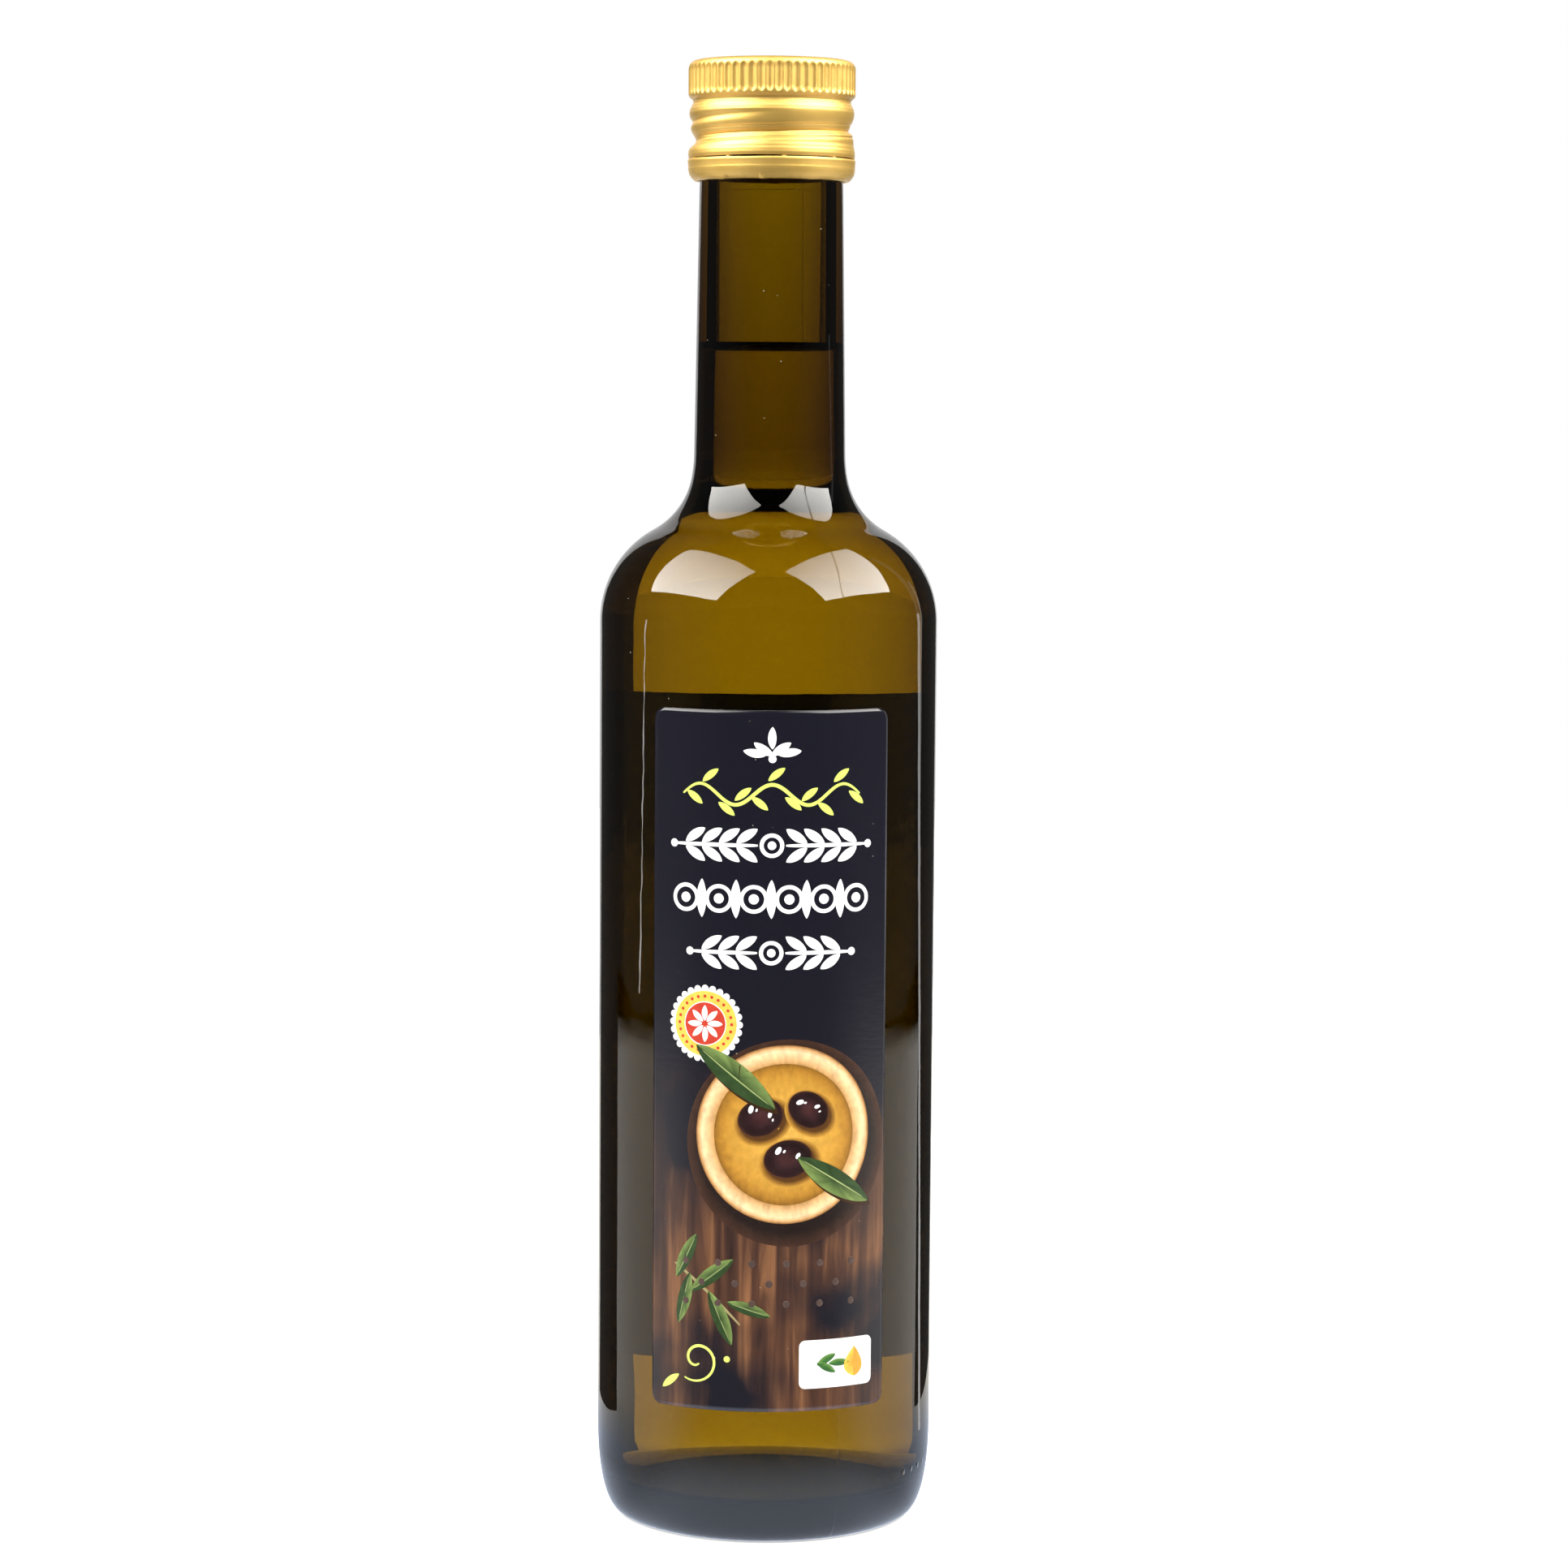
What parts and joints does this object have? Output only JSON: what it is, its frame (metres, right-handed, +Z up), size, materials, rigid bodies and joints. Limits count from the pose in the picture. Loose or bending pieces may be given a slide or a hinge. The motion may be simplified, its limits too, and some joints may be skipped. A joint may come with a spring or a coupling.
{
  "type": "olive oil bottle",
  "caption": "Tall round dark glass bottle filled with oil into the neck, with a knurled rolled-on gold cap, tear-off band and paper labels on front and back.",
  "frame": {"origin": "centre of the foot, on the plane the bottle stands on", "axes": "+Z up along the bottle's axis, the front label facing -Y"},
  "size_m": [0.0644, 0.065, 0.2781],
  "materials": {
    "glass_bottle": "dark olive-amber glass, glossy",
    "oil": "clear golden oil",
    "cap": "satin gold lacquer on thin metal",
    "front_label": "printed coated paper, satin",
    "back_label": "printed coated paper, satin"
  },
  "bodies": {
    "root": {"glass_bottle": "glass_bottle", "oil": "oil", "cap": "cap", "front_label": "front_label", "back_label": "back_label"}
  },
  "joints": []
}
